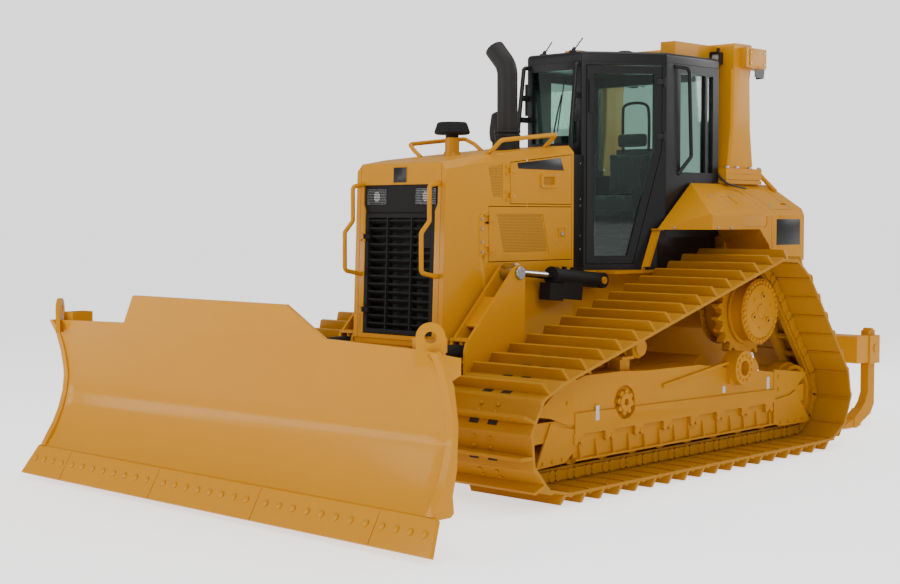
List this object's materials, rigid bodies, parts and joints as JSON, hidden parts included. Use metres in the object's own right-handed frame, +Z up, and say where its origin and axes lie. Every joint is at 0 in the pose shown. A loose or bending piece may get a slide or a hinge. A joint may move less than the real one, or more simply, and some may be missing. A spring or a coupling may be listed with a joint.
{
  "type": "crawler bulldozer with angling blade and ripper",
  "caption": "Crawler tractor with a lifting, angling and tilting blade, enclosed cab with roll-over frame, hinged engine doors and a three-shank parallelogram ripper.",
  "frame": {"origin": "on the ground under the middle of the machine", "axes": "+X forward to the blade, +Y to the machine's left, +Z up"},
  "size_m": [6.807, 4.066, 3.268],
  "materials": {
    "painted_yellow": "semi-gloss construction yellow enamel, dusty and lightly scuffed",
    "painted_black": "matt black paint",
    "chrome_rod": "polished hard chrome",
    "glass": "pale green tinted safety glass",
    "dark_core": "dark radiator fins",
    "seat_fabric": "dark grey woven seat fabric",
    "exhaust_steel": "heat-resistant satin black",
    "cab_trim": "moulded dark grey trim",
    "engine_paint": "cast engine block, plain"
  },
  "bodies": {
    "tractor": {"main_frame": "painted_yellow", "engine_block": "engine_paint", "radiator_guard": "painted_yellow", "radiator_core": "dark_core", "lamp_panel": "painted_black", "hood": "painted_yellow", "hood_rails": "painted_yellow", "exhaust": "exhaust_steel", "precleaner": "painted_black", "cab_frame": "painted_black", "cab_roof": "painted_black", "cab_floor": "cab_trim", "cab_glass": "glass", "cowl": "painted_black", "seat": "seat_fabric", "side_tank_l": "painted_yellow", "side_tank_r": "painted_yellow", "rear_tank": "painted_yellow", "rops_frame": "painted_yellow", "track_frame_l": "painted_yellow", "track_frame_r": "painted_yellow", "track_l": "painted_yellow", "track_r": "painted_yellow", "idlers": "painted_yellow", "rollers": "painted_yellow", "final_drives": "painted_yellow", "sprockets": "painted_yellow", "ripper_bracket": "painted_yellow", "antennas": "painted_black", "cab_controls": "cab_trim", "work_lamps": "painted_black"},
    "blade_arms": {"c_frame": "painted_yellow"},
    "swivel": {"blade_swivel": "painted_yellow"},
    "blade": {"blade": "painted_yellow", "cutting_edge": "painted_yellow"},
    "cab_door_l": {"cab_door_l": "painted_black", "door_glass_l": "glass"},
    "cab_door_r": {"cab_door_r": "painted_black", "door_glass_r": "glass"},
    "engine_door_l": {"engine_door_l": "painted_yellow"},
    "engine_door_r": {"engine_door_r": "painted_yellow"},
    "upper_door_l": {"upper_door_l": "painted_yellow"},
    "upper_door_r": {"upper_door_r": "painted_yellow"},
    "grille_door": {"grille_door": "painted_black"},
    "ripper_low_links": {"ripper_low_links": "painted_yellow"},
    "ripper_high_links": {"ripper_high_links": "painted_yellow"},
    "ripper_beam": {"ripper_beam": "painted_yellow", "shanks": "painted_yellow"},
    "ripper_barrel": {"ripper_barrel": "painted_black"},
    "ripper_rod": {"ripper_rod": "chrome_rod"},
    "tilt_barrel": {"tilt_barrel": "painted_black"},
    "tilt_rod": {"tilt_rod": "chrome_rod"},
    "lift_barrel_l": {"lift_barrel_l": "painted_black"},
    "lift_rod_l": {"lift_rod_l": "chrome_rod"},
    "angle_barrel_l": {"angle_barrel_l": "painted_black"},
    "angle_rod_l": {"angle_rod_l": "chrome_rod"},
    "lift_barrel_r": {"lift_barrel_r": "painted_black"},
    "lift_rod_r": {"lift_rod_r": "chrome_rod"},
    "angle_barrel_r": {"angle_barrel_r": "painted_black"},
    "angle_rod_r": {"angle_rod_r": "chrome_rod"}
  },
  "joints": [
    {"name": "blade_lift", "type": "hinge", "parent": "tractor", "child": "blade_arms", "pos_m": [0.3, 0, 0.62], "axis": [0, 1, 0], "range_deg": [-19, 8.5]},
    {"name": "lift_foot_l", "type": "hinge", "parent": "tractor", "child": "lift_barrel_l", "pos_m": [0.1, 0.56, 1.385], "axis": [0, 1, 0], "range_deg": [-17.7, 7.95]},
    {"name": "lift_rod_l", "type": "slide", "parent": "lift_barrel_l", "child": "lift_rod_l", "axis": [0.9961, 0, 0.0879], "range_m": [-0.262, 0.118]},
    {"name": "lift_foot_r", "type": "hinge", "parent": "tractor", "child": "lift_barrel_r", "pos_m": [0.1, -0.56, 1.385], "axis": [0, 1, 0], "range_deg": [-17.7, 7.95]},
    {"name": "lift_rod_r", "type": "slide", "parent": "lift_barrel_r", "child": "lift_rod_r", "axis": [0.9961, 0, 0.0879], "range_m": [-0.262, 0.118]},
    {"name": "blade_angle", "type": "hinge", "parent": "blade_arms", "child": "swivel", "pos_m": [2.72, 0, 0.62], "axis": [0, 0, 1], "range_deg": [-25, 25]},
    {"name": "angle_foot_l", "type": "hinge", "parent": "blade_arms", "child": "angle_barrel_l", "pos_m": [1.6, 0.56, 0.95], "axis": [0, 0, 1], "range_deg": [-2.1, 2.1]},
    {"name": "angle_rod_l", "type": "slide", "parent": "angle_barrel_l", "child": "angle_rod_l", "axis": [0.9907, -0.1358, 0], "range_m": [-0.18, 0.18]},
    {"name": "angle_foot_r", "type": "hinge", "parent": "blade_arms", "child": "angle_barrel_r", "pos_m": [1.6, -0.56, 0.95], "axis": [0, 0, 1], "range_deg": [-2.1, 2.1]},
    {"name": "angle_rod_r", "type": "slide", "parent": "angle_barrel_r", "child": "angle_rod_r", "axis": [0.9907, 0.1358, 0], "range_m": [-0.18, 0.18]},
    {"name": "blade_tilt", "type": "hinge", "parent": "swivel", "child": "blade", "pos_m": [2.95, 0, 0.62], "axis": [1, 0, 0], "range_deg": [-7, 7]},
    {"name": "tilt_foot", "type": "hinge", "parent": "swivel", "child": "tilt_barrel", "pos_m": [3.03, -0.3, 1], "axis": [1, 0, 0], "range_deg": [-3.55, 3.55]},
    {"name": "tilt_rod", "type": "slide", "parent": "tilt_barrel", "child": "tilt_rod", "axis": [0, 1, 0], "range_m": [-0.047, 0.047]},
    {"name": "cab_door_l_swing", "type": "hinge", "parent": "tractor", "child": "cab_door_l", "pos_m": [-0.56762, 0.67802, 2.4], "axis": [0, 0, 1], "range_deg": [0, 90]},
    {"name": "engine_door_l_swing", "type": "hinge", "parent": "tractor", "child": "engine_door_l", "pos_m": [1.198, 0.449, 1.74], "axis": [0, 0, -1], "range_deg": [0, 100]},
    {"name": "upper_door_l_swing", "type": "hinge", "parent": "tractor", "child": "upper_door_l", "pos_m": [0.972, 0.449, 2.1], "axis": [0, 0, -1], "range_deg": [0, 100]},
    {"name": "cab_door_r_swing", "type": "hinge", "parent": "tractor", "child": "cab_door_r", "pos_m": [-0.56762, -0.67802, 2.4], "axis": [0, 0, -1], "range_deg": [0, 90]},
    {"name": "engine_door_r_swing", "type": "hinge", "parent": "tractor", "child": "engine_door_r", "pos_m": [1.198, -0.449, 1.74], "axis": [0, 0, 1], "range_deg": [0, 100]},
    {"name": "upper_door_r_swing", "type": "hinge", "parent": "tractor", "child": "upper_door_r", "pos_m": [0.972, -0.449, 2.1], "axis": [0, 0, 1], "range_deg": [0, 100]},
    {"name": "grille_swing", "type": "hinge", "parent": "tractor", "child": "grille_door", "pos_m": [1.67538, -0.335, 1.46], "axis": [0.0405, 0, -0.9992], "range_deg": [0, 85]},
    {"name": "ripper_lift", "type": "hinge", "parent": "tractor", "child": "ripper_low_links", "pos_m": [-2.15, 0, 0.52], "axis": [0, -1, 0], "range_deg": [-32, 28]},
    {"name": "ripper_high", "type": "hinge", "parent": "tractor", "child": "ripper_high_links", "pos_m": [-2.15, 0, 0.85], "axis": [0, -1, 0], "range_deg": [-32.1, 28.1]},
    {"name": "ripper_level", "type": "hinge", "parent": "ripper_low_links", "child": "ripper_beam", "pos_m": [-2.93, 0, 0.62], "axis": [0, -1, 0], "range_deg": [-28.1, 32.1]},
    {"name": "ripper_foot", "type": "hinge", "parent": "tractor", "child": "ripper_barrel", "pos_m": [-2.15, 0, 0.85], "axis": [0, -1, 0], "range_deg": [-29.1, 25.5]},
    {"name": "ripper_rod", "type": "slide", "parent": "ripper_barrel", "child": "ripper_rod", "axis": [-0.9646, 0, -0.2638], "range_m": [-0.175, 0.153]}
  ],
  "couplings": [
    {"joint": "lift_foot_l", "follows": "blade_lift", "ratio": 0.92922},
    {"joint": "lift_rod_l", "follows": "blade_lift", "m_per_rad": 0.78226},
    {"joint": "lift_foot_r", "follows": "blade_lift", "ratio": 0.92922},
    {"joint": "lift_rod_r", "follows": "blade_lift", "m_per_rad": 0.78226},
    {"joint": "angle_foot_l", "follows": "blade_angle", "ratio": 0.07972},
    {"joint": "angle_rod_l", "follows": "blade_angle", "m_per_rad": -0.4082},
    {"joint": "angle_foot_r", "follows": "blade_angle", "ratio": 0.07972},
    {"joint": "angle_rod_r", "follows": "blade_angle", "m_per_rad": 0.4082},
    {"joint": "tilt_foot", "follows": "blade_tilt", "ratio": 0.5},
    {"joint": "tilt_rod", "follows": "blade_tilt", "m_per_rad": -0.37978},
    {"joint": "ripper_high", "follows": "ripper_lift", "ratio": 1},
    {"joint": "ripper_level", "follows": "ripper_lift", "ratio": -1},
    {"joint": "ripper_foot", "follows": "ripper_lift", "ratio": 0.90535},
    {"joint": "ripper_rod", "follows": "ripper_lift", "m_per_rad": 0.31059}
  ]
}
